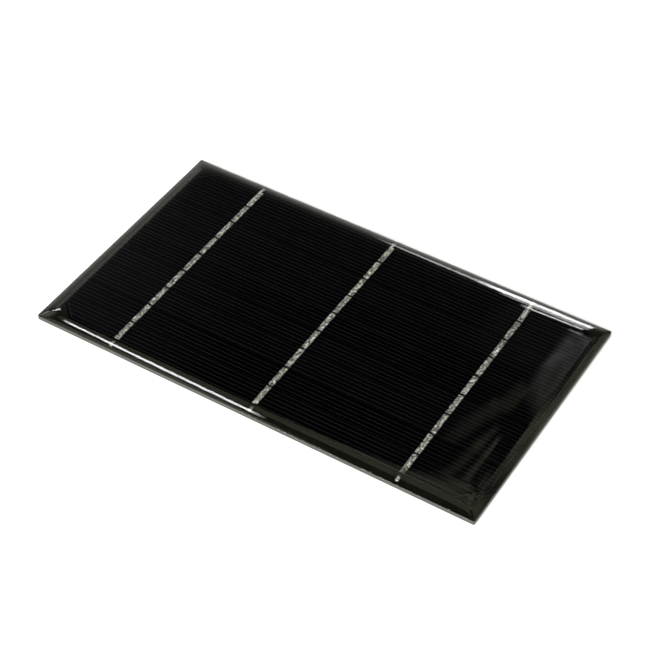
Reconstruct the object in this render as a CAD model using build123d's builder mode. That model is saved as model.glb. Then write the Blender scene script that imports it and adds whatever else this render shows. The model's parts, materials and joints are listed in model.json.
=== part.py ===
from build123d import *

import math
import os

# A small resin-domed solar panel: nine silicon strips in series on a printed circuit board, potted in
# clear epoxy. Millimetres. +X runs along the board's long side, +Y towards its back edge and +Z up,
# out of the sunny side. The origin is the middle of the board's rear face.

os.makedirs("parts", exist_ok=True)

# --- board ---
board_length = 158.8
board_width = 93.4
board_corner_radius = 0.5
mask_thickness = 0.06
copper_thickness = 0.035
core_thickness = 1.44

z_core = mask_thickness
z_board_top = z_core + core_thickness
z_front = z_board_top + mask_thickness

# --- resin dome: its surface leaves the board's edge at an angle and rounds over to the level top ---
resin_height = 1.29
resin_edge_angle = 38.0
resin_rim_radius = 5.5

# --- the string of cell strips, cut from pseudo-square wafers ---
wafer_width = 156.0
wafer_diameter = 210.0
strip_count = 9
strip_width = 9.25
strip_pitch = 9.6
string_centre_x = 0.5
string_centre_y = 0.2
film_thickness = 0.15
contact_thickness = 0.03
silicon_thickness = 0.18
print_thickness = 0.03

z_contact = z_front + film_thickness
z_silicon = z_contact + contact_thickness
z_print = z_silicon + silicon_thickness
z_print_top = z_print + print_thickness

# --- printed silver grid ---
finger_width = 0.12
finger_pitch = 1.565
edge_line_width = 0.15
edge_line_inset = 1.0
edge_clearance = 0.02
# from each strip's back edge to its first finger, because each cut falls elsewhere on its wafer's grid
first_finger = [1.0, 1.35, 0.9, 1.1, 0.55, 1.7, 0.85, 1.8, 0.7]

# --- printed busbars, which stop short of each cut edge and at the outermost finger of the wafer ---
busbar_offsets = [-52.0, 0.0, 52.0]
busbar_width = 1.75
busbar_cut_inset = 0.25

# --- ribbons: each lies on the rear part of a busbar ---
ribbon_width = 0.9
ribbon_thickness = film_thickness
ribbon_bend_angle = 60.0
ribbon_front_inset = 3.5
ribbon_rear_length = 8.0
# how far off the busbars' middles the ribbons of each strip lie, because they were laid by hand
ribbon_shifts = [-0.4, 0.4, 0.35, 0.4, 0.4, 0.4, 0.35, 0.4, 0.3]
positive_end_shift = 0.0
negative_tail_length = 1.6
positive_tail_length = 2.5

# --- soldering places, buses, vias and rear copper ---
solder_length = 1.1
solder_width = 1.1
solder_height = 0.10
solder_taper = 25.0
bus_width = 1.6
bus_overhang = 1.5
via_radius = 0.3
via_bore_radius = 0.2
via_offsets = [6.0, 8.0, 10.0]
rear_trace_width = 3.0
wire_pad_length = 6.0
wire_pad_width = 4.0
wire_pad_centre_y = 6.0
tin_thickness = 0.02
mark_size = 3.2
mark_stroke = 0.8
mark_gap = 4.0

string_back_y = string_centre_y + (strip_pitch * (strip_count - 1) + strip_width) / 2
string_front_y = 2 * string_centre_y - string_back_y
bus_negative_y = string_back_y + negative_tail_length - solder_length / 2
bus_positive_y = string_front_y - positive_tail_length + solder_length / 2
via_centre_x = via_offsets[1]
z_rear_copper = z_core - copper_thickness
z_tin = z_rear_copper - tin_thickness
busbars = [string_centre_x + offset_x for offset_x in busbar_offsets]
negative_tails = [x + ribbon_shifts[0] for x in busbars]
positive_tails = [x + positive_end_shift for x in busbars]
embedded = []


def finish(builder, name, in_resin=False):
    """Label a finished piece, write its STEP file, and note whether the resin flows round it."""
    builder.part.label = name
    export_step(builder.part, f"parts/{name}.step")
    if in_resin:
        embedded.append(builder.part)


def strip_back(index):
    """The Y of a strip's back edge. Strip 0 lies at the board's back."""
    return string_back_y - index * strip_pitch


def strip_centre(index):
    """The middle of a strip's outline."""
    return (string_centre_x, strip_back(index) - strip_width / 2)


def wafer_centre(index):
    """The middle of the wafer that an outer strip was the edge of, or None for an inner strip."""
    if index == 0:
        return (string_centre_x, string_back_y - wafer_width / 2)
    if index == strip_count - 1:
        return (string_centre_x, string_front_y + wafer_width / 2)
    return None


def strip_outline(index, inset=0.0):
    """Sketch a strip, drawn in by an inset at its ends and at its wafer's round corners."""
    with Locations(strip_centre(index)):
        Rectangle(wafer_width - 2 * inset, strip_width)
    if wafer_centre(index):
        with Locations(wafer_centre(index)):
            Circle(wafer_diameter / 2 - inset, mode=Mode.INTERSECT)


def finger_rows(index):
    """The Y of each printed finger of a strip."""
    rows = []
    y = strip_back(index) - first_finger[index]
    while y - finger_width / 2 - edge_clearance > strip_back(index) - strip_width:
        rows.append(y)
        y -= finger_pitch
    return rows


def busbar_ends(index):
    """The Y of the front and the back end of a strip's printed busbars."""
    front = strip_back(index) - strip_width + busbar_cut_inset
    back = strip_back(index) - busbar_cut_inset
    if index == 0:
        back = finger_rows(index)[0] + finger_width / 2
    if index == strip_count - 1:
        front = finger_rows(index)[-1] - finger_width / 2
    return front, back


def ribbon_section(y_start, y_bend, y_end, z_high, z_low):
    """The side view of a ribbon that runs level, dips over an edge at y_bend, and runs level again."""
    slope = math.radians(ribbon_bend_angle)
    dip = (z_high - z_low) / math.tan(slope)
    mitre = ribbon_thickness * math.tan(slope / 2)
    return [
        (y_start, z_high),
        (y_bend, z_high),
        (y_bend + dip, z_low),
        (y_end, z_low),
        (y_end, z_low + ribbon_thickness),
        (y_bend + dip + mitre, z_low + ribbon_thickness),
        (y_bend + mitre, z_high + ribbon_thickness),
        (y_start, z_high + ribbon_thickness),
    ]


def printed_edge_line(index):
    """Sketch the thin line that joins the fingers' ends, and follows the wafer's round corners."""
    with BuildSketch() as inside:
        strip_outline(index, edge_line_inset + edge_line_width)
    strip_outline(index, edge_line_inset)
    add(inside.sketch, mode=Mode.SUBTRACT)
    rows = finger_rows(index)
    with Locations((string_centre_x, (rows[0] + rows[-1]) / 2)):
        Rectangle(wafer_width, rows[0] - rows[-1] + finger_width, mode=Mode.INTERSECT)


def printed_fingers(index):
    """Sketch the fingers of a strip, cut off where the edge line passes."""
    with Locations([(string_centre_x, y) for y in finger_rows(index)]):
        Rectangle(wafer_width - 2 * edge_line_inset, finger_width)
    if wafer_centre(index):
        with Locations(wafer_centre(index)):
            Circle(wafer_diameter / 2 - edge_line_inset, mode=Mode.INTERSECT)


# --- the board's core, with holes for the via barrels ---
with BuildPart() as fr4_core:
    with BuildSketch(Plane.XY.offset(z_core)):
        RectangleRounded(board_length, board_width, board_corner_radius)
        for bus_y in (bus_negative_y, bus_positive_y):
            with Locations([(x, bus_y) for x in via_offsets]):
                Circle(via_radius, mode=Mode.SUBTRACT)
    extrude(amount=core_thickness)
finish(fr4_core, "fr4_core")

# --- plated via barrels, one group at each bus ---
for polarity, bus_y in (("negative", bus_negative_y), ("positive", bus_positive_y)):
    with BuildPart() as via_barrels:
        with BuildSketch(Plane.XY.offset(z_core)):
            with Locations([(x, bus_y) for x in via_offsets]):
                Circle(via_radius)
                Circle(via_bore_radius, mode=Mode.SUBTRACT)
        extrude(amount=core_thickness)
    finish(via_barrels, f"{polarity}_via_barrels")

# --- front copper: a bus along each long edge ---
front_buses = []
for polarity, bus_y in (("negative", bus_negative_y), ("positive", bus_positive_y)):
    bus_length = busbars[-1] - busbars[0] + ribbon_width + 2 * bus_overhang
    with BuildPart() as front_bus:
        with BuildSketch(Plane.XY.offset(z_board_top)):
            with Locations((string_centre_x, bus_y)):
                SlotOverall(bus_length, bus_width)
        extrude(amount=copper_thickness)
    finish(front_bus, f"{polarity}_front_bus")
    front_buses.append(front_bus.part)

# --- front solder mask, open where the tails are soldered ---
with BuildPart() as front_solder_mask:
    with BuildSketch(Plane.XY.offset(z_board_top)):
        RectangleRounded(board_length, board_width, board_corner_radius)
    extrude(amount=mask_thickness)
    for front_bus_part in front_buses:
        add(front_bus_part, mode=Mode.SUBTRACT)
    with BuildSketch(Plane.XY.offset(z_board_top + copper_thickness)):
        with Locations([(x, bus_negative_y) for x in negative_tails]):
            Rectangle(solder_width, solder_length)
        with Locations([(x, bus_positive_y) for x in positive_tails]):
            Rectangle(solder_width, solder_length)
    extrude(amount=mask_thickness, mode=Mode.SUBTRACT)
finish(front_solder_mask, "front_solder_mask")

# --- rear copper: a trace from each group of vias to its wire pad ---
rear_traces = []
for polarity, bus_y, pad_y in (
    ("negative", bus_negative_y, wire_pad_centre_y),
    ("positive", bus_positive_y, -wire_pad_centre_y),
):
    side = math.copysign(1, bus_y)
    trace_end = bus_y + side * bus_width / 2
    with BuildPart() as rear_trace:
        with BuildSketch(Plane.XY.offset(z_rear_copper)):
            with Locations((via_centre_x, (trace_end + pad_y) / 2)):
                Rectangle(rear_trace_width, abs(trace_end - pad_y))
            with Locations((via_centre_x, bus_y)):
                SlotOverall(via_offsets[-1] - via_offsets[0] + rear_trace_width, bus_width)
            with Locations((via_centre_x, pad_y)):
                SlotOverall(wire_pad_length + 1, wire_pad_width + 1)
        extrude(amount=copper_thickness)
    finish(rear_trace, f"{polarity}_rear_trace")
    rear_traces.append(rear_trace.part)

# --- tinned wire pads, a little below the mask's face ---
for polarity, pad_y in (("negative", wire_pad_centre_y), ("positive", -wire_pad_centre_y)):
    with BuildPart() as wire_pad:
        with BuildSketch(Plane.XY.offset(z_tin)):
            with Locations((via_centre_x, pad_y)):
                SlotOverall(wire_pad_length, wire_pad_width)
        extrude(amount=tin_thickness)
    finish(wire_pad, f"{polarity}_wire_pad")

# --- polarity marks beside the pads, in bare tinned copper ---
mark_x = via_centre_x + wire_pad_length / 2 + mark_gap
with BuildPart() as plus_mark:
    with BuildSketch(Plane.XY.offset(z_tin)):
        with Locations((mark_x, -wire_pad_centre_y)):
            Rectangle(mark_size, mark_stroke)
            Rectangle(mark_stroke, mark_size)
    extrude(amount=z_core - z_tin)
finish(plus_mark, "plus_mark")

with BuildPart() as minus_mark:
    with BuildSketch(Plane.XY.offset(z_tin)):
        with Locations((mark_x, wire_pad_centre_y)):
            Rectangle(mark_size, mark_stroke)
    extrude(amount=z_core - z_tin)
finish(minus_mark, "minus_mark")

# --- rear solder mask, open at the pads and the marks ---
with BuildPart() as rear_solder_mask:
    with BuildSketch():
        RectangleRounded(board_length, board_width, board_corner_radius)
    extrude(amount=mask_thickness)
    for rear_trace_part in rear_traces:
        add(rear_trace_part, mode=Mode.SUBTRACT)
    with BuildSketch():
        with Locations((via_centre_x, wire_pad_centre_y), (via_centre_x, -wire_pad_centre_y)):
            SlotOverall(wire_pad_length, wire_pad_width)
    extrude(amount=z_rear_copper, mode=Mode.SUBTRACT)
    with BuildSketch():
        with Locations((mark_x, -wire_pad_centre_y)):
            Rectangle(mark_size, mark_stroke)
            Rectangle(mark_stroke, mark_size)
        with Locations((mark_x, wire_pad_centre_y)):
            Rectangle(mark_size, mark_stroke)
    extrude(amount=mask_thickness, mode=Mode.SUBTRACT)
finish(rear_solder_mask, "rear_solder_mask")

# --- bonding films: one under each strip, slotted where a ribbon runs under the silicon ---
with BuildPart() as bonding_films:
    for k in range(strip_count):
        with BuildSketch(Plane.XY.offset(z_front)):
            strip_outline(k)
            slot_shift = ribbon_shifts[k + 1] if k + 1 < strip_count else positive_end_shift
            slot_centre_y = strip_back(k) - strip_width + ribbon_rear_length / 2
            with Locations([(x + slot_shift, slot_centre_y) for x in busbars]):
                Rectangle(ribbon_width, ribbon_rear_length, mode=Mode.SUBTRACT)
        extrude(amount=film_thickness)
finish(bonding_films, "bonding_films", in_resin=True)

# --- each strip: its rear contact, its silicon and its printed front grid ---
for k in range(strip_count):
    with BuildPart() as rear_contact:
        with BuildSketch(Plane.XY.offset(z_contact)):
            strip_outline(k)
        extrude(amount=contact_thickness)
    finish(rear_contact, f"rear_contact_{k + 1}", in_resin=True)

    with BuildPart() as cell_strip:
        with BuildSketch(Plane.XY.offset(z_silicon)):
            strip_outline(k)
        extrude(amount=silicon_thickness)
    finish(cell_strip, f"cell_strip_{k + 1}", in_resin=True)

    with BuildSketch() as edge_line:
        printed_edge_line(k)
    with BuildSketch() as fingers:
        printed_fingers(k)
    busbar_front, busbar_back = busbar_ends(k)
    with BuildPart() as front_grid:
        with BuildSketch(Plane.XY.offset(z_print)):
            add(edge_line.sketch)
            add(fingers.sketch)
            with Locations([(x, (busbar_front + busbar_back) / 2) for x in busbars]):
                Rectangle(busbar_width, busbar_back - busbar_front)
        extrude(amount=print_thickness)
    finish(front_grid, f"front_grid_{k + 1}", in_resin=True)

# --- interconnects: each three lie on one strip and dive under the strip behind it ---
for k in range(1, strip_count):
    ribbon_front = strip_back(k) - strip_width + ribbon_front_inset
    ribbon_back = strip_back(k - 1) - strip_width + ribbon_rear_length
    section = ribbon_section(ribbon_front, strip_back(k), ribbon_back, z_print_top, z_front)
    with BuildPart() as interconnect:
        for x in busbars:
            with BuildSketch(Plane.YZ.offset(x + ribbon_shifts[k])):
                with BuildLine():
                    Polyline(*section, close=True)
                make_face()
            extrude(amount=ribbon_width / 2, both=True)
    finish(interconnect, f"interconnect_{k}_{k + 1}", in_resin=True)

# --- negative end ribbons: they lie on the back strip, and their tails drop to the board ---
tail_end = string_back_y + negative_tail_length
end_ribbon_front = string_back_y - strip_width + ribbon_front_inset
end_section = ribbon_section(end_ribbon_front, string_back_y, tail_end, z_print_top, z_front)
with BuildPart() as negative_end_ribbons:
    for x in negative_tails:
        with BuildSketch(Plane.YZ.offset(x)):
            with BuildLine():
                Polyline(*end_section, close=True)
            make_face()
        extrude(amount=ribbon_width / 2, both=True)
finish(negative_end_ribbons, "negative_end_ribbons", in_resin=True)

# --- positive end ribbons: they run under the front strip, and their tails come out on the board ---
with BuildPart() as positive_end_ribbons:
    with BuildSketch(Plane.XY.offset(z_front)):
        tail_centre_y = string_front_y + (ribbon_rear_length - positive_tail_length) / 2
        with Locations([(x, tail_centre_y) for x in positive_tails]):
            Rectangle(ribbon_width, ribbon_rear_length + positive_tail_length)
    extrude(amount=ribbon_thickness)
finish(positive_end_ribbons, "positive_end_ribbons", in_resin=True)

# --- solder joints between the tails and the buses ---
for polarity, bus_y, tail_places, tails in (
    ("negative", bus_negative_y, negative_tails, negative_end_ribbons.part),
    ("positive", bus_positive_y, positive_tails, positive_end_ribbons.part),
):
    joint_places = [(x, bus_y) for x in tail_places]
    with BuildPart() as solder_joints:
        with BuildSketch(Plane.XY.offset(z_board_top + copper_thickness)):
            with Locations(joint_places):
                Rectangle(solder_width, solder_length)
        extrude(amount=mask_thickness - copper_thickness)
        with BuildSketch(Plane.XY.offset(z_front)):
            with Locations(joint_places):
                Rectangle(solder_width, solder_length)
        extrude(amount=solder_height, taper=solder_taper)
        add(tails, mode=Mode.SUBTRACT)
    finish(solder_joints, f"{polarity}_solder_joints", in_resin=True)

# --- the clear resin: level on top, round at the rim, and cast round everything on the board ---
with BuildPart() as resin_encapsulant:
    with BuildSketch(Plane.XY.offset(z_front)):
        Rectangle(board_length, board_width)
    extrude(amount=resin_height, taper=90 - resin_edge_angle)
    level_top = resin_encapsulant.faces().sort_by(Axis.Z)[-1]
    fillet(level_top.edges(), radius=resin_rim_radius)
    with BuildSketch(Plane.XY.offset(z_front)):
        RectangleRounded(board_length, board_width, board_corner_radius)
    extrude(amount=board_width, mode=Mode.INTERSECT)
    add(embedded, mode=Mode.SUBTRACT)
finish(resin_encapsulant, "resin_encapsulant")
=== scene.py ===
import json
import math

import bpy
import numpy as np
from mathutils import Matrix, Vector, noise


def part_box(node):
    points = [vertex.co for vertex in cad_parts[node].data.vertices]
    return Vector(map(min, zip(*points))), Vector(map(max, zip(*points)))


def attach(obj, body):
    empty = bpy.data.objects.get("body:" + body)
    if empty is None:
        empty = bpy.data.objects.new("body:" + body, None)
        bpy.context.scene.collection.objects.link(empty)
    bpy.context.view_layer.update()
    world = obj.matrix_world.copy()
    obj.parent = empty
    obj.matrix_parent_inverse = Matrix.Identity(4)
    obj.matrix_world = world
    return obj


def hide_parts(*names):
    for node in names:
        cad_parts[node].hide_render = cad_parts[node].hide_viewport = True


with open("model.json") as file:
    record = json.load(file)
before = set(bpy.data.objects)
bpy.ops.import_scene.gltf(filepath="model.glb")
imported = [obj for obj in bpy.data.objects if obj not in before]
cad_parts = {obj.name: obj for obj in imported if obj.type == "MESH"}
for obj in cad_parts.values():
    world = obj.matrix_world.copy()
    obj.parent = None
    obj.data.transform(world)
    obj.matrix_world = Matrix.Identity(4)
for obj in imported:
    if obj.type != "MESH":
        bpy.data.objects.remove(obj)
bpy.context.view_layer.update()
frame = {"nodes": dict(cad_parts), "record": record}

MM = 0.001
STRIPS = 9

# ---------------------------------------------------------------- places, read from the frame
board_low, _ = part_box("rear_solder_mask")
_, board_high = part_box("front_solder_mask")
_, resin_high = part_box("resin_encapsulant")
film_low, film_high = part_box("bonding_films")
HALF_LENGTH = board_high.x
HALF_WIDTH = board_high.y
BOARD_TOP = board_high.z
RESIN_TOP = resin_high.z
RIBBON_THICKNESS = film_high.z - film_low.z
BUSBAR_PITCH = 52.0 * MM
BUSBAR_WIDTH = 1.75 * MM
STRIP_PITCH = 9.6 * MM
STRING_CENTRE = (film_low.x + film_high.x) / 2
STRING_FRONT = film_low.y
STRING_BACK = film_high.y
BOARD_CORNER_RADIUS = 0.5 * MM
TRACE_WIDTH = 3.0 * MM
PAD_LAND_RADIUS = 2.5 * MM
VIA_WIDTH = 0.6 * MM
MASK_SLOPE = 0.25 * MM

# the resin dome
RIM_LENGTH = 1.95 * MM
RIPPLE = 0.010 * MM
RIPPLE_MIDDLE = 45 * MM
RIPPLE_SPREAD = 9 * MM
BASE_SINK = 0.02 * MM
BASE_INSET = 0.06 * MM
FIRST_STEP = 0.05 * MM
LARGEST_STEP = 1.2 * MM
STEP_GROWTH = 1.08

# the ribbons
RIBBON_WIDTH = 0.9 * MM
BEND_ANGLE = math.radians(60)
STATION_STEP = 0.15 * MM
SOLDER_SPREAD = 0.14 * MM
TOP_WEAR = 0.025 * MM
RIBBON_WOBBLE = 0.02 * MM
TAIL_START = 0.4 * MM
BARE_BEFORE_DIP = 0.25 * MM
BARE_BEFORE_TAIL = 0.95 * MM

# the blotches of the tin, from stained to bright
TIN_STOPS = [
    (0.39, (0.025, 0.024, 0.021)),
    (0.45, (0.11, 0.107, 0.096)),
    (0.505, (0.24, 0.235, 0.212)),
    (0.56, (0.46, 0.45, 0.41)),
    (0.62, (0.92, 0.91, 0.86)),
]

# the camera and the studio
VIEW_AZIMUTH = math.radians(30.12)
VIEW_ELEVATION = math.radians(44.42)
VIEW_ROLL = math.radians(1.87)
VIEW_DISTANCE = 0.5967
VIEW_LENS = 102.9
VIEW_AIM_RIGHT = 0.1 * MM
VIEW_AIM_UP = 0.61 * MM
FLOOR_LIGHT_RADIANCE = 13.0
FLOOR_LIGHT_WIDTH = 1.3
FLOOR_LIGHT_HEIGHT = 0.7
FLOOR_LIGHT_DISTANCE = 1.3
TABLE_REACH = 2.5
TABLE_OVERLAP = 0.6 * MM


# ---------------------------------------------------------------- camera, floor and light
def camera_frame():
    """The camera's right, up and back directions, and its place."""
    level = math.cos(VIEW_ELEVATION)
    back = Vector((
        math.sin(VIEW_AZIMUTH) * level,
        -math.cos(VIEW_AZIMUTH) * level,
        math.sin(VIEW_ELEVATION),
    ))
    level_right = Vector((math.cos(VIEW_AZIMUTH), math.sin(VIEW_AZIMUTH), 0))
    level_up = back.cross(level_right)
    right = level_right * math.cos(VIEW_ROLL) + level_up * math.sin(VIEW_ROLL)
    up = back.cross(right)
    place = right * VIEW_AIM_RIGHT + up * VIEW_AIM_UP + back * VIEW_DISTANCE
    return right, up, back, place


def add_camera():
    """The camera stands to the right of the panel's front edge and looks down on it."""
    right, up, back, place = camera_frame()
    data = bpy.data.cameras.new("camera")
    data.lens = VIEW_LENS
    data.sensor_width = 36
    data.clip_start = 0.01
    camera = bpy.data.objects.new("camera", data)
    camera.matrix_world = Matrix.Translation(place) @ Matrix((right, up, back)).transposed().to_4x4()
    bpy.context.scene.collection.objects.link(camera)
    bpy.context.scene.camera = camera


def add_floor_light():
    """A wide softbox in front of the panel, where nothing on the panel mirrors it towards the camera."""
    away = Vector((0.08, -0.78, 0.61)).normalized()
    side = (Vector((1, 0, 0)) - away * away.x).normalized()
    rise = away.cross(side)
    data = bpy.data.lights.new("floor_light", "AREA")
    data.shape = "RECTANGLE"
    data.size = FLOOR_LIGHT_WIDTH
    data.size_y = FLOOR_LIGHT_HEIGHT
    data.energy = FLOOR_LIGHT_RADIANCE * math.pi * data.size * data.size_y
    light = bpy.data.objects.new("floor_light", data)
    turned = Matrix((side, rise, away)).transposed().to_4x4()
    light.matrix_world = Matrix.Translation(away * FLOOR_LIGHT_DISTANCE) @ turned
    bpy.context.scene.collection.objects.link(light)


class Nodes:
    """A node tree, with short calls for what the studio and the materials share."""

    def __init__(self, owner, coordinates):
        owner.use_nodes = True
        self.tree = owner.node_tree
        self.place = self.node("ShaderNodeTexCoord").outputs[coordinates]

    def node(self, kind):
        return self.tree.nodes.new(kind)

    def link(self, source, target):
        self.tree.links.new(source, target)

    def math(self, operation, a, b=0.0):
        """A math node's result for one or two numbers or sockets."""
        node = self.node("ShaderNodeMath")
        node.operation = operation
        for socket, value in zip(node.inputs, (a, b)):
            if isinstance(value, (int, float)):
                socket.default_value = value
            else:
                self.link(value, socket)
        return node.outputs[0]

    def axis(self, name):
        split = self.node("ShaderNodeSeparateXYZ")
        self.link(self.place, split.inputs[0])
        return split.outputs[name]

    def ramp(self, factor, stops):
        """A colour or a grey for each factor: stops are (position, colour or grey)."""
        ramp = self.node("ShaderNodeValToRGB")
        elements = ramp.color_ramp.elements
        while len(elements) < len(stops):
            elements.new(0.5)
        for element, (position, tone) in zip(elements, stops):
            element.position = position
            grey = (tone, tone, tone) if isinstance(tone, (int, float)) else tone
            element.color = (*grey, 1)
        self.link(factor, ramp.inputs[0])
        return ramp.outputs[0]


class Studio(Nodes):
    """The studio as seen from the panel. A place on it is given by the X and the Y of its direction."""

    def __init__(self):
        world = bpy.data.worlds.new("studio")
        super().__init__(world, "Generated")
        self.total = None
        self.total_blue = None
        bpy.context.scene.world = world

    def add(self, light, blue):
        """Add a light. Blue is its blue part: 1 for white and less for a yellowish light."""
        light_blue = self.math("MULTIPLY", light, blue)
        if self.total is None:
            self.total = light
            self.total_blue = light_blue
        else:
            self.total = self.math("ADD", self.total, light)
            self.total_blue = self.math("ADD", self.total_blue, light_blue)

    def wall(self, stops, blue):
        """Light that depends only on the height: stops are (Z of the direction, radiance)."""
        self.add(self.ramp(self.axis("Z"), stops), blue)

    def inset(self, corners):
        """How far a place lies inside a convex outline, whose corners go round anticlockwise."""
        inside = None
        for (x0, y0), (x1, y1) in zip(corners, corners[1:] + corners[:1]):
            length = math.dist((x0, y0), (x1, y1))
            normal = ((y0 - y1) / length, (x1 - x0) / length, 0)
            dot = self.node("ShaderNodeVectorMath")
            dot.operation = "DOT_PRODUCT"
            self.link(self.place, dot.inputs[0])
            dot.inputs[1].default_value = normal
            reach = self.math("SUBTRACT", dot.outputs["Value"], normal[0] * x0 + normal[1] * y0)
            inside = reach if inside is None else self.math("MINIMUM", inside, reach)
        return inside

    def panel(self, corners, edge, radiance, blue=1.0, mottle=0.0):
        """A lit outline that fades over the edge's width. Mottling breaks it up into cloudy streaks."""
        fade = self.node("ShaderNodeMapRange")
        fade.interpolation_type = "SMOOTHSTEP"
        fade.inputs["From Min"].default_value = -edge / 2
        fade.inputs["From Max"].default_value = edge / 2
        fade.inputs["To Min"].default_value = 0
        fade.inputs["To Max"].default_value = radiance
        self.link(self.inset(corners), fade.inputs["Value"])
        light = fade.outputs["Result"]
        if mottle:
            light = self.math("MULTIPLY", light, self.streaks(mottle))
        self.add(light, blue)

    def streaks(self, depth):
        """Cloudy streaks round 1, as deep as asked for."""
        mapping = self.node("ShaderNodeMapping")
        mapping.inputs["Rotation"].default_value = (0, 0, math.radians(-35))
        mapping.inputs["Scale"].default_value = (12, 62, 1)
        self.link(self.place, mapping.inputs["Vector"])
        clouds = self.node("ShaderNodeTexNoise")
        clouds.inputs["Scale"].default_value = 1
        clouds.inputs["Detail"].default_value = 3
        clouds.inputs["Distortion"].default_value = 0.6
        self.link(mapping.outputs["Vector"], clouds.inputs["Vector"])
        spread = self.node("ShaderNodeMapRange")
        spread.inputs["From Min"].default_value = 0.35
        spread.inputs["From Max"].default_value = 0.65
        spread.inputs["To Min"].default_value = 1 - depth
        spread.inputs["To Max"].default_value = 1 + depth
        self.link(clouds.outputs["Fac"], spread.inputs["Value"])
        return spread.outputs["Result"]

    def finish(self):
        combine = self.node("ShaderNodeCombineColor")
        self.link(self.total, combine.inputs[0])
        self.link(self.total, combine.inputs[1])
        self.link(self.total_blue, combine.inputs[2])
        self.link(combine.outputs[0], self.tree.nodes["Background"].inputs["Color"])


def mirrored(x, y):
    """The studio's place that the camera sees mirrored in the level resin at x and y, in millimetres."""
    place = camera_frame()[3]
    ray = (Vector((x * MM, y * MM, RESIN_TOP)) - place).normalized()
    return ray.x, ray.y


def add_studio():
    """White low down, dark overhead, with the lit panels that the resin's rim shows as bright lines."""
    studio = Studio()
    stops = [(0.0, 0.90), (0.22, 0.85), (0.34, 0.68), (0.45, 0.42), (0.53, 0.18), (0.62, 0.04), (0.70, 0.0)]
    studio.wall(stops, 0.92)
    # the key light, on the front rim
    key = [(-0.372, -0.10), (-0.372, 0.09), (-0.478, 0.23), (-0.478, 0.13), (-0.426, -0.03)]
    studio.panel(key, 0.014, 18)
    # the strip light, on the back rim, with its dimmer end and its lower edge
    studio.panel([(-0.29, 0.778), (-0.20, 0.812), (-0.20, 0.905), (-0.25, 0.89), (-0.29, 0.862)], 0.02, 14)
    studio.panel([(-0.345, 0.79), (-0.28, 0.79), (-0.28, 0.845), (-0.345, 0.83)], 0.02, 5)
    studio.panel([(-0.28, 0.742), (-0.205, 0.758), (-0.205, 0.80), (-0.28, 0.785)], 0.012, 4)
    studio.panel([(-0.268, 0.711), (-0.222, 0.734), (-0.222, 0.747), (-0.268, 0.722)], 0.008, 12)
    studio.panel([(-0.240, 0.692), (-0.214, 0.695), (-0.214, 0.703), (-0.240, 0.698)], 0.006, 2)
    # two glints in the front left corner
    studio.panel([(-0.613, 0.412), (-0.528, 0.476), (-0.540, 0.497), (-0.627, 0.433)], 0.008, 12)
    studio.panel([(-0.72, 0.335), (-0.66, 0.375), (-0.67, 0.390), (-0.73, 0.350)], 0.008, 8)
    # pale walls on the left
    studio.panel([(-0.72, 0.48), (-0.57, 0.48), (-0.545, 0.67), (-0.72, 0.67)], 0.03, 0.25, 0.85)
    studio.panel([(-0.63, 0.48), (-0.57, 0.48), (-0.545, 0.67), (-0.63, 0.67)], 0.03, 0.35, 0.85)
    studio.panel([(-0.60, 0.46), (-0.44, 0.46), (-0.44, 0.60), (-0.60, 0.62)], 0.10, 0.06, 1.0)
    studio.panel([(-0.94, -0.08), (-0.55, -0.08), (-0.55, 0.40), (-0.94, 0.40)], 0.08, 1.0, 0.85)
    # a pale floor in front
    pale_floor = [(-0.60, -0.6), (-0.30, -0.6), (-0.34, -0.33), (-0.42, -0.14), (-0.60, -0.05)]
    studio.panel(pale_floor, 0.06, 0.75, 0.85)
    # the yellowish room on the right, seen in the rim
    near_room = [(-0.50, 0.185), (-0.05, 0.185), (-0.05, 0.45), (-0.36, 0.43), (-0.50, 0.33)]
    studio.panel(near_room, 0.02, 0.36, 0.72, 0.3)
    studio.panel([(-0.35, 0.43), (-0.05, 0.43), (0.10, 0.60), (-0.256, 0.612)], 0.025, 0.34, 0.75, 0.85)
    studio.panel([(-0.05, 0.45), (0.10, 0.35), (0.50, 0.60), (0.10, 0.60)], 0.04, 0.36, 0.72, 0.4)
    studio.panel([(-0.08, 0.650), (0.11, 0.650), (0.11, 0.72), (-0.08, 0.72)], 0.02, 0.12, 0.8, 0.9)
    far_room = [(-0.08, 0.612), (0.25, 0.612), (0.66, 0.625), (0.66, 0.65), (-0.08, 0.650)]
    studio.panel(far_room, 0.02, 0.42, 0.70, 0.3)
    studio.panel([(0.11, 0.645), (0.70, 0.645), (0.70, 0.78), (0.11, 0.78)], 0.03, 0.48, 0.72, 0.3)
    # the haze over the right end
    studio.panel([(-0.2425, 0.664), (-0.08, 0.664), (-0.08, 0.70), (-0.233, 0.70)], 0.011, 0.50, 1.0, 0.4)
    studio.panel([(-0.2475, 0.649), (-0.08, 0.640), (-0.08, 0.664), (-0.2425, 0.664)], 0.011, 0.26, 0.9, 0.4)
    studio.panel([(-0.285, 0.655), (-0.240, 0.655), (-0.230, 0.70), (-0.275, 0.70)], 0.014, 0.035, 0.9)
    # the haze's tail, and two streaks nearer the front
    near_tail = [(71.5, -1.5), (71.5, 6.5), (66.5, 9.5), (62, -2.5), (64.5, -7.5)]
    far_tail = [(65, -5.5), (62, -1.5), (58, -14.5), (57, -24.5), (60, -24.5)]
    streak = [(70.5, -11.5), (68, -11.5), (64.5, -26.5), (63, -39.5), (67, -39.5), (69, -24.5)]
    end_streak = [(79.5, -16.5), (74.5, -16.5), (72.3, -32.5), (72, -39.5), (79.5, -39.5)]
    for corners, edge, radiance in (
        (near_tail, 0.005, 0.11),
        (far_tail, 0.005, 0.10),
        (streak, 0.006, 0.18),
        (end_streak, 0.006, 0.31),
    ):
        studio.panel([mirrored(x, y) for x, y in corners], edge, radiance, 0.72, 0.3)
    studio.finish()


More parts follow.
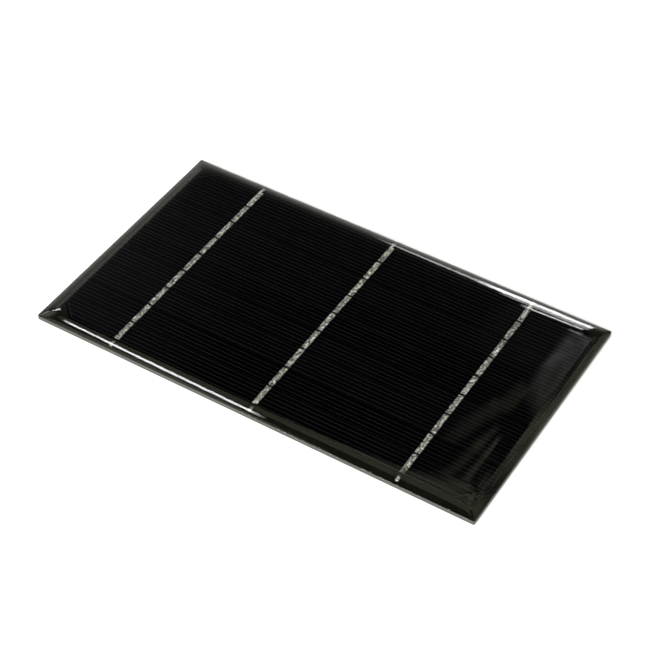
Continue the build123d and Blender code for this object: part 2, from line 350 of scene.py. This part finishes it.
def add_stage():
    """The white table. It is open under the panel, so that light from below reaches the rear face."""
    corners = []
    for half_x, half_y in (
        (TABLE_REACH, TABLE_REACH),
        (HALF_LENGTH - TABLE_OVERLAP, HALF_WIDTH - TABLE_OVERLAP),
    ):
        for side_x, side_y in ((-1, -1), (1, -1), (1, 1), (-1, 1)):
            corners.append((side_x * half_x, side_y * half_y, 0))
    faces = [(i, (i + 1) % 4, (i + 1) % 4 + 4, i + 4) for i in range(4)]
    floor = new_piece("white_table", corners, faces, smooth=False)
    look = Look("white_table")
    tone = look.noise(3.0, detail=2)
    look.colour(look.ramp(tone, [(0.3, (0.90, 0.90, 0.90)), (0.7, (0.92, 0.92, 0.92))]))
    look.set(Roughness=0.9, Specular_IOR_Level=0.1)
    look.put_on(floor)


# ---------------------------------------------------------------- materials
class Look(Nodes):
    """A Principled material, with short calls for the nodes that the looks share. Lengths are in metres."""

    def __init__(self, name):
        self.material = bpy.data.materials.new(name)
        super().__init__(self.material, "Object")
        self.shader = self.tree.nodes["Principled BSDF"]

    def stretched(self, x, y, z, place=None):
        """The place, scaled along each axis."""
        mapping = self.node("ShaderNodeMapping")
        mapping.inputs["Scale"].default_value = (x, y, z)
        self.link(place or self.place, mapping.inputs["Vector"])
        return mapping.outputs["Vector"]

    def noise(self, scale, detail=3.0, rough=0.5, place=None, distortion=0.0):
        texture = self.node("ShaderNodeTexNoise")
        texture.inputs["Scale"].default_value = scale
        texture.inputs["Detail"].default_value = detail
        texture.inputs["Roughness"].default_value = rough
        texture.inputs["Distortion"].default_value = distortion
        self.link(place or self.place, texture.inputs["Vector"])
        return texture.outputs["Fac"]

    def cells(self, scale, place=None):
        texture = self.node("ShaderNodeTexVoronoi")
        texture.inputs["Scale"].default_value = scale
        self.link(place or self.place, texture.inputs["Vector"])
        return texture.outputs["Distance"]

    def mix(self, factor, a, b):
        """a where the factor is 0 and b where it is 1. Both are colours or sockets."""
        node = self.node("ShaderNodeMix")
        node.data_type = "RGBA"
        self.link(factor, node.inputs[0])
        for socket, value in ((node.inputs[6], a), (node.inputs[7], b)):
            if isinstance(value, tuple):
                socket.default_value = (*value, 1)
            else:
                self.link(value, socket)
        return node.outputs[2]

    def bump(self, height, depth, strength=1.0):
        node = self.node("ShaderNodeBump")
        node.inputs["Distance"].default_value = depth
        node.inputs["Strength"].default_value = strength
        self.link(height, node.inputs["Height"])
        self.link(node.outputs[0], self.shader.inputs["Normal"])

    def colour(self, source):
        self.link(source, self.shader.inputs["Base Color"])

    def roughness(self, factor, low, high):
        self.link(self.ramp(factor, [(0.25, low), (0.75, high)]), self.shader.inputs["Roughness"])

    def set(self, **values):
        for name, value in values.items():
            self.shader.inputs[name.replace("_", " ")].default_value = value

    def put_on(self, *objects):
        for target in objects:
            target.data.materials.clear()
            target.data.materials.append(self.material)


def paint(slot, look):
    """Put a look on every CAD node of a material slot."""
    for part in frame["record"]["subparts"]:
        if part["material_slot"] == slot:
            mesh_object = frame["nodes"][part["node"]]
            if not mesh_object.material_slots:
                mesh_object.data.materials.append(look.material)
            for place in mesh_object.material_slots:
                place.material = look.material


def silicon_look():
    """Textured black silicon. Each strip has its own tone, and faint saw marks run along it."""
    look = Look("silicon")
    cloud = look.noise(60, detail=2)
    marks = look.noise(1, detail=2, place=look.stretched(40, 4000, 40))
    strip = look.node("ShaderNodeTexWhiteNoise")
    strip.noise_dimensions = "1D"
    look.link(look.math("FLOOR", strips_from_front(look)), strip.inputs["W"])
    tone = look.math("ADD", look.math("MULTIPLY", cloud, 0.4), look.math("MULTIPLY", marks, 0.3))
    tone = look.math("ADD", tone, look.math("MULTIPLY", strip.outputs["Value"], 0.3))
    look.colour(look.ramp(tone, [(0.25, (0.0003, 0.0003, 0.0004)), (0.75, (0.0009, 0.0009, 0.0012))]))
    look.roughness(cloud, 0.45, 0.6)
    look.set(Specular_IOR_Level=0.0)
    look.bump(look.cells(40000), 0.004 * MM, 0.3)
    return look


def strips_from_front(look):
    """How many strips lie between a place and the string's front edge."""
    return look.math("DIVIDE", look.math("SUBTRACT", look.axis("Y"), STRING_FRONT), STRIP_PITCH)


def busbar_mask(look):
    """1 on the printed busbars and 0 on the thin fingers between them."""
    across = look.math("PINGPONG", look.math("SUBTRACT", look.axis("X"), STRING_CENTRE), BUSBAR_PITCH / 2)
    return look.math("LESS_THAN", across, BUSBAR_WIDTH / 2 + 0.01 * MM)


def along_strip(look):
    """0 at the front edge of each strip and 1 at the front edge of the next."""
    return look.math("FRACT", strips_from_front(look))


def tin_tone(look):
    """The blotches of tin that wet unevenly: fine cross ridges over rings and patches."""
    ridges = look.noise(1, detail=2, rough=0.6, place=look.stretched(1300, 2100, 900), distortion=0.5)
    patches = look.noise(1, detail=2, rough=0.5, place=look.stretched(1900, 620, 900), distortion=0.6)
    rings = look.cells(1150, place=look.stretched(1.2, 0.85, 1))
    tone = look.math("ADD", look.math("MULTIPLY", ridges, 0.50), look.math("MULTIPLY", patches, 0.38))
    return look.math("ADD", tone, look.math("MULTIPLY", rings, 0.14))


def silver_print_look():
    """Fired silver paste. The fingers are bare and smooth; the busbars are tinned, blotchy and stained."""
    look = Look("silver_print")
    grain = look.noise(1, detail=3, place=look.stretched(120, 900, 120))
    finger = look.ramp(grain, [(0.3, (0.018, 0.018, 0.0175)), (0.7, (0.038, 0.038, 0.037))])
    tone = tin_tone(look)
    busbar = look.ramp(tone, TIN_STOPS)
    mask = busbar_mask(look)
    look.colour(look.mix(mask, finger, busbar))
    finger_rough = look.ramp(grain, [(0.3, 0.36), (0.7, 0.46)])
    busbar_rough = look.ramp(tone, [(0.3, 0.6), (0.6, 0.40)])
    look.link(look.mix(mask, finger_rough, busbar_rough), look.shader.inputs["Roughness"])
    look.set(Metallic=1.0)
    look.bump(look.math("MULTIPLY", tone, mask), 0.05 * MM, 0.8)
    return look


def ribbon_look():
    """Tinned copper ribbon with blotchy solder. Painted shade darkens its colour where it dips between two
    strips.
    """
    look = Look("tinned_ribbon")
    tone = tin_tone(look)
    stops = [(position - 0.02, colour) for position, colour in TIN_STOPS]
    # painted shade: the colour is darkened near each gap between two strips, where the ribbon dips; the
    # tails keep their colour
    dip_shade = look.ramp(along_strip(look), [(0.02, 0.10), (0.05, 1.0), (0.915, 1.0), (0.935, 0.10)])
    on_tail = look.math("GREATER_THAN", look.axis("Y"), STRING_BACK - TAIL_START)
    dip_shade = look.math("MAXIMUM", dip_shade, on_tail)
    shade = look.node("ShaderNodeMix")
    shade.data_type = "RGBA"
    shade.blend_type = "MULTIPLY"
    shade.inputs[0].default_value = 1.0
    look.link(look.ramp(tone, stops), shade.inputs[6])
    look.link(dip_shade, shade.inputs[7])
    look.colour(shade.outputs[2])
    look.roughness(tone, 0.5, 0.34)
    look.set(Metallic=1.0)
    look.bump(tone, 0.05 * MM, 0.8)
    return look


def board_core_look():
    """The raw cut edge of glass-epoxy laminate: thin plies along it and short fibre ends."""
    look = Look("board_core")
    plies = look.noise(1, detail=3, place=look.stretched(90, 90, 9000))
    fibres = look.noise(1, detail=4, rough=0.7, place=look.stretched(2600, 2600, 12000))
    tone = look.math("ADD", look.math("MULTIPLY", plies, 0.55), look.math("MULTIPLY", fibres, 0.45))
    stops = [
        (0.34, (0.028, 0.030, 0.023)),
        (0.48, (0.052, 0.055, 0.044)),
        (0.64, (0.086, 0.089, 0.073)),
    ]
    look.colour(look.ramp(tone, stops))
    look.roughness(fibres, 0.55, 0.8)
    look.bump(tone, 0.05 * MM, 0.6)
    return look


def inside_slot(look, x, y, centre, half_length, radius):
    """How far a place lies inside a round-ended slot that runs along X."""
    off_centre = look.math("ABSOLUTE", look.math("SUBTRACT", x, centre[0]))
    along = look.math("MAXIMUM", look.math("SUBTRACT", off_centre, half_length - radius), 0)
    across = look.math("SUBTRACT", y, centre[1])
    squares = look.math("ADD", look.math("MULTIPLY", along, along), look.math("MULTIPLY", across, across))
    return look.math("SUBTRACT", radius, look.math("SQRT", squares))


def inside_run(look, x, y, centre, half_x, half_y):
    """How far a place lies inside a straight run of copper."""
    x_reach = look.math("SUBTRACT", half_x, look.math("ABSOLUTE", look.math("SUBTRACT", x, centre[0])))
    y_reach = look.math("SUBTRACT", half_y, look.math("ABSOLUTE", look.math("SUBTRACT", y, centre[1])))
    return look.math("MINIMUM", x_reach, y_reach)


def rear_copper_relief(look):
    """Two masks: 1 over the copper that runs under the rear mask, and 1 in the dimple over each via."""
    x = look.axis("X")
    y = look.axis("Y")
    copper = None
    dimple = None
    for polarity in ("negative", "positive"):
        trace_low, trace_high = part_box(f"{polarity}_rear_trace")
        pad_low, pad_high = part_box(f"{polarity}_wire_pad")
        vias_low, vias_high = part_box(f"{polarity}_via_barrels")
        middle_x = (pad_low.x + pad_high.x) / 2
        pad_y = (pad_low.y + pad_high.y) / 2
        vias_y = (vias_low.y + vias_high.y) / 2
        half_land = (trace_high.x - trace_low.x) / 2
        half_bus = min(abs(trace_high.y - vias_y), abs(trace_low.y - vias_y))
        via_pitch = (vias_high.x - vias_low.x - VIA_WIDTH) / 2
        run_centre = (middle_x, (pad_y + vias_y) / 2)
        half_run = abs(vias_y - pad_y) / 2
        shapes = (
            inside_slot(look, x, y, (middle_x, pad_y), half_land, PAD_LAND_RADIUS),
            inside_run(look, x, y, run_centre, TRACE_WIDTH / 2, half_run),
            inside_slot(look, x, y, (middle_x, vias_y), half_land, half_bus),
        )
        for shape in shapes:
            copper = shape if copper is None else look.math("MAXIMUM", copper, shape)
        for step in (-1, 0, 1):
            centre = (middle_x + step * via_pitch, vias_y)
            hole = inside_slot(look, x, y, centre, VIA_WIDTH / 2, VIA_WIDTH / 2)
            dimple = hole if dimple is None else look.math("MAXIMUM", dimple, hole)
    masks = []
    for reach in (copper, dimple):
        share = look.math("ADD", look.math("DIVIDE", reach, MASK_SLOPE), 0.5)
        masks.append(look.ramp(share, [(0.0, 0.0), (1.0, 1.0)]))
    return masks


def solder_mask_tones(look, shade):
    """Black solder mask: almost neutral, a little green, with the fine weave of the board under it.

    Gives its colour, the height of its weave and its clouds.
    """
    weaves = []
    for direction in ("X", "Y"):
        wave = look.node("ShaderNodeTexWave")
        wave.bands_direction = direction
        wave.inputs["Scale"].default_value = 420
        wave.inputs["Distortion"].default_value = 0.6
        wave.inputs["Detail"].default_value = 1.0
        look.link(look.place, wave.inputs["Vector"])
        weaves.append(wave.outputs["Fac"])
    weave = look.math("MULTIPLY", weaves[0], weaves[1])
    cloud = look.noise(140, detail=3)
    height = look.math("ADD", look.math("MULTIPLY", weave, 0.35), look.math("MULTIPLY", cloud, 0.65))
    dark = (shade * 0.8, shade * 0.85, shade * 0.6)
    light = (shade * 1.25, shade * 1.3, shade * 0.95)
    return look.ramp(height, [(0.25, dark), (0.7, light)]), height, cloud


def front_mask_look():
    """The front's solder mask, which lies under the resin."""
    look = Look("front_solder_mask")
    colour, height, cloud = solder_mask_tones(look, 0.0035)
    look.colour(colour)
    look.roughness(cloud, 0.5, 0.62)
    look.set(Specular_IOR_Level=0.0)
    look.bump(height, 0.006 * MM, 0.5)
    return look


def rear_mask_look():
    """The rear's solder mask. It is lighter and stands up a little where it covers copper."""
    look = Look("rear_solder_mask")
    plain, weave, cloud = solder_mask_tones(look, 0.02)
    copper, dimple = rear_copper_relief(look)
    grain = look.noise(900, detail=3)
    over_copper = look.ramp(grain, [(0.3, (0.036, 0.042, 0.026)), (0.7, (0.046, 0.053, 0.034))])
    look.colour(look.mix(dimple, look.mix(copper, plain, over_copper), plain))
    look.roughness(cloud, 0.3, 0.42)
    look.set(Specular_IOR_Level=0.5)
    height = look.math("ADD", copper, look.math("MULTIPLY", weave, 0.2))
    look.bump(look.math("SUBTRACT", height, dimple), 0.03 * MM, 0.6)
    return look


def metal_look(name, dark, light, rough, grain):
    """A plated or fired metal film with a fine grain and cloudy patches."""
    look = Look(name)
    cloud = look.noise(700, detail=4, rough=0.6)
    look.colour(look.ramp(cloud, [(0.3, dark), (0.7, light)]))
    look.roughness(cloud, rough, rough + 0.18)
    look.set(Metallic=1.0)
    look.bump(look.noise(grain, detail=3), 0.01 * MM, 0.5)
    return look


def film_look():
    """Thin black adhesive film, a little uneven."""
    look = Look("bonding_film")
    cloud = look.noise(500, detail=3)
    look.colour(look.ramp(cloud, [(0.3, (0.0024, 0.0024, 0.0021)), (0.7, (0.0042, 0.0042, 0.0036))]))
    look.roughness(cloud, 0.4, 0.6)
    look.set(Specular_IOR_Level=0.0)
    return look


def resin_look():
    """Clear cast epoxy, a very little yellow."""
    look = Look("clear_resin")
    look.set(Roughness=0.0, IOR=1.5, Transmission_Weight=1.0)
    cloud = look.noise(25, detail=2)
    look.colour(look.ramp(cloud, [(0.3, (0.965, 0.965, 0.935)), (0.7, (0.975, 0.975, 0.95))]))
    return look


# ---------------------------------------------------------------- meshes
def new_piece(name, vertices, faces, smooth=True):
    """A mesh object in the scene."""
    mesh = bpy.data.meshes.new(name)
    mesh.from_pydata([tuple(v) for v in vertices], [], faces)
    mesh.validate()
    if smooth:
        mesh.shade_smooth()
    piece = bpy.data.objects.new(name, mesh)
    bpy.context.scene.collection.objects.link(piece)
    return piece


def grid_lines(half):
    """Places from one edge to the other, close together at the rim and wider apart in the middle."""
    inward = [0.0]
    step = FIRST_STEP
    while step < LARGEST_STEP:
        inward.append(inward[-1] + step)
        step *= STEP_GROWTH
    middle = 2 * (half - inward[-1])
    count = int(round(middle / LARGEST_STEP))
    left = [-half + d for d in inward]
    inner = [left[-1] + middle * i / count for i in range(1, count)]
    return np.array(left + inner + [-x for x in reversed(left)])


def ripple(x, y):
    """The faint unevenness of the set resin, stronger towards the right-hand end."""
    strength = 0.35 + 0.65 / (1 + math.exp(-(x - RIPPLE_MIDDLE) / RIPPLE_SPREAD))
    swell = noise.noise(Vector((x * 55, y * 42, 1.7)))
    wave = noise.noise(Vector((x * 160, y * 120, 5.1)))
    return -RIPPLE * strength * (1 + 0.75 * swell + 0.25 * wave)


def round_corner(x, y):
    """Move a point of the square-cornered grid to its place on the board's rounded outline."""
    centre_x = HALF_LENGTH - BOARD_CORNER_RADIUS
    centre_y = HALF_WIDTH - BOARD_CORNER_RADIUS
    over_x = (abs(x) - centre_x) / BOARD_CORNER_RADIUS
    over_y = (abs(y) - centre_y) / BOARD_CORNER_RADIUS
    if over_x <= 0 or over_y <= 0:
        return x, y
    new_x = centre_x + BOARD_CORNER_RADIUS * over_x * math.sqrt(1 - over_y * over_y / 2)
    new_y = centre_y + BOARD_CORNER_RADIUS * over_y * math.sqrt(1 - over_x * over_x / 2)
    return math.copysign(new_x, x), math.copysign(new_y, y)


def resin_height(x, y):
    """The free surface: it rises from the board's edge as a liquid's does, and levels off."""
    in_x = HALF_LENGTH - abs(x)
    in_y = HALF_WIDTH - abs(y)
    if in_x <= 0 or in_y <= 0:
        return 0.0
    share = (1 - math.exp(-in_x / RIM_LENGTH)) * (1 - math.exp(-in_y / RIM_LENGTH))
    return share * (RESIN_TOP - BOARD_TOP + share**8 * ripple(x, y))


def build_resin():
    """The resin dome: one closed mesh, whose base is sunk a hair into the solder mask."""
    xs = grid_lines(HALF_LENGTH)
    ys = grid_lines(HALF_WIDTH)
    columns = len(xs)
    vertices = []
    for y in ys:
        for x in xs:
            px, py = round_corner(x, y)
            vertices.append((px, py, BOARD_TOP + resin_height(x, y)))
    faces = []
    for j in range(len(ys) - 1):
        for i in range(columns - 1):
            a = j * columns + i
            faces.append((a, a + 1, a + 1 + columns, a + columns))
    last = (len(ys) - 1) * columns
    loop = list(range(columns))
    loop += [j * columns + columns - 1 for j in range(1, len(ys))]
    loop += [last + i for i in range(columns - 2, -1, -1)]
    loop += [j * columns for j in range(len(ys) - 2, 0, -1)]
    first_base = len(vertices)
    for index in loop:
        x, y, _ = vertices[index]
        vertices.append((
            x * (1 - BASE_INSET / HALF_LENGTH),
            y * (1 - BASE_INSET / HALF_WIDTH),
            BOARD_TOP - BASE_SINK,
        ))
    for n, index in enumerate(loop):
        m = (n + 1) % len(loop)
        faces.append((loop[m], index, first_base + n, first_base + m))
    faces.append(tuple(first_base + n for n in reversed(range(len(loop)))))
    resin = new_piece("resin_dome", vertices, faces)
    resin.visible_shadow = False
    return resin


def run(start, end, direction):
    """Stations along a straight part: (Y, Z, direction)."""
    length = math.dist(start, end)
    count = max(1, round(length / STATION_STEP))
    stations = []
    for i in range(count + 1):
        share = i / count
        y = start[0] + (end[0] - start[0]) * share
        z = start[1] + (end[1] - start[1]) * share
        stations.append((y, z, direction))
    return stations


def turn(centre, radius, first, last):
    """Stations along a bend: the ribbon's middle passes round the centre from one bearing to another."""
    stations = []
    for i in range(1, 5):
        bearing = first + (last - first) * i / 5
        side = 1 if last < first else -1
        stations.append((
            centre[0] + radius * math.cos(bearing),
            centre[1] + radius * math.sin(bearing),
            bearing - side * math.pi / 2,
        ))
    return stations


def dipping_path(y_start, y_bend, y_end, z_high, z_low):
    """The middle line of a ribbon that runs level, dips over an edge and runs level again."""
    half = RIBBON_THICKNESS / 2
    dip = (z_high - z_low) / math.tan(BEND_ANGLE)
    mitre = RIBBON_THICKNESS * math.tan(BEND_ANGLE / 2)
    upper = (y_bend, z_high)
    lower = (y_bend + dip + mitre, z_low + RIBBON_THICKNESS)
    slant = (half * math.sin(BEND_ANGLE), half * math.cos(BEND_ANGLE))
    path = run((y_start, z_high + half), (y_bend, z_high + half), 0.0)
    path += turn(upper, half, math.pi / 2, math.pi / 2 - BEND_ANGLE)
    path += run(
        (upper[0] + slant[0], upper[1] + slant[1]),
        (lower[0] - slant[0], lower[1] - slant[1]),
        -BEND_ANGLE,
    )
    path += turn(lower, half, 1.5 * math.pi - BEND_ANGLE, 1.5 * math.pi)
    path += run((lower[0], z_low + half), (y_end, z_low + half), 0.0)
    return path


def ribbon_section(x, y, soldered, taper):
    """Points round a ribbon, as (across, up) from its middle. Solder spreads at its foot."""
    half = RIBBON_THICKNESS / 2
    edge = RIBBON_WIDTH / 2
    points = []
    for side in (-1, 1):
        blot = 0.45 + 0.55 * noise.noise(Vector((x * 900, y * 1400, side * 3.7)))
        spread = max(0.0, SOLDER_SPREAD * soldered * blot)
        flank = [
            (edge + spread, -half),
            (edge + 0.4 * spread, -half * 0.35),
            (edge, half * 0.35 * taper),
            (edge - 0.05 * MM, half * 0.85 * taper),
        ]
        points.append([(side * u, v) for u, v in flank])
    left, right = points
    top = []
    for share in (-0.6, -0.3, 0.0, 0.3, 0.6):
        bump = 0.5 + 0.5 * noise.noise(Vector(((x + share * edge) * 1500, y * 900, 8.2)))
        top.append((share * edge, (half - TOP_WEAR * bump) * taper))
    foot = [(share * edge, -half) for share in (0.5, -0.5)]
    return left + top + list(reversed(right)) + foot


def add_ribbon(vertices, faces, x, path, soldered_from, soldered_to):
    """Add one ribbon to a mesh. It is soldered down between two Y places."""
    first = len(vertices)
    y_start = path[0][0]
    size = 0
    for y, z, direction in path:
        soldered = 1.0 if soldered_from <= y <= soldered_to and direction == 0.0 else 0.0
        taper = min(1.0, 0.35 + (y - y_start) / (0.5 * MM))
        section = ribbon_section(x, y, soldered, taper)
        size = len(section)
        wobble = RIBBON_WOBBLE * noise.noise(Vector((x * 300, y * 350, 2.4)))
        for across, up in section:
            vertices.append((
                x + across + wobble,
                y - up * math.sin(direction),
                z + up * math.cos(direction),
            ))
    for i in range(len(path) - 1):
        a = first + i * size
        b = a + size
        for j in range(size):
            k = (j + 1) % size
            faces.append((a + j, b + j, b + k, a + k))
    faces.append(tuple(first + j for j in range(size)))
    last = first + (len(path) - 1) * size
    faces.append(tuple(last + j for j in reversed(range(size))))


def build_ribbons(node, shift, path, soldered_from, soldered_to):
    """The three ribbons of a node, one on each busbar."""
    vertices = []
    faces = []
    for n in (-1, 0, 1):
        x = STRING_CENTRE + n * BUSBAR_PITCH + shift
        add_ribbon(vertices, faces, x, path, soldered_from, soldered_to)
    piece = new_piece(node + "_visual", vertices, faces)
    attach(piece, "root")
    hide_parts(node)
    return piece


def build_all_ribbons(look):
    """Every ribbon of the string, at the places of the CAD pieces."""
    for k in range(1, STRIPS):
        node = f"interconnect_{k}_{k + 1}"
        low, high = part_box(node)
        shift = (low.x + high.x) / 2 - STRING_CENTRE
        _, strip_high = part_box(f"cell_strip_{k + 1}")
        path = dipping_path(low.y, strip_high.y, high.y, high.z - RIBBON_THICKNESS, low.z)
        look.put_on(build_ribbons(node, shift, path, low.y, strip_high.y - BARE_BEFORE_DIP))
    low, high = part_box("negative_end_ribbons")
    shift = (low.x + high.x) / 2 - STRING_CENTRE
    _, strip_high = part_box("cell_strip_1")
    path = dipping_path(low.y, strip_high.y, high.y, high.z - RIBBON_THICKNESS, low.z)
    look.put_on(build_ribbons("negative_end_ribbons", shift, path, low.y, strip_high.y - BARE_BEFORE_TAIL))
    low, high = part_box("positive_end_ribbons")
    shift = (low.x + high.x) / 2 - STRING_CENTRE
    middle = (low.z + high.z) / 2
    path = run((low.y, middle), (high.y, middle), 0.0)
    look.put_on(build_ribbons("positive_end_ribbons", shift, path, low.y, low.y))


# ---------------------------------------------------------------- build
add_camera()
add_studio()
add_floor_light()
add_stage()

paint("silicon", silicon_look())
paint("silver_print", silver_print_look())
build_all_ribbons(ribbon_look())
paint("board_core", board_core_look())
paint("solder_mask", rear_mask_look())
front_mask_look().put_on(frame["nodes"]["front_solder_mask"])
paint("copper", metal_look("copper", (0.45, 0.20, 0.12), (0.72, 0.38, 0.25), 0.3, 20000))
paint("solder_finish", metal_look("hot_air_tin", (0.52, 0.52, 0.50), (0.76, 0.76, 0.74), 0.15, 3000))
paint("solder_joint", metal_look("solder", (0.34, 0.34, 0.32), (0.58, 0.58, 0.56), 0.3, 6000))
paint("rear_contact", metal_look("aluminium_paste", (0.05, 0.05, 0.05), (0.09, 0.09, 0.09), 0.6, 30000))
paint("bonding_film", film_look())

resin = build_resin()
resin_look().put_on(resin)
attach(resin, "root")
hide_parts("resin_encapsulant")

bpy.context.scene.view_settings.view_transform = "Standard"
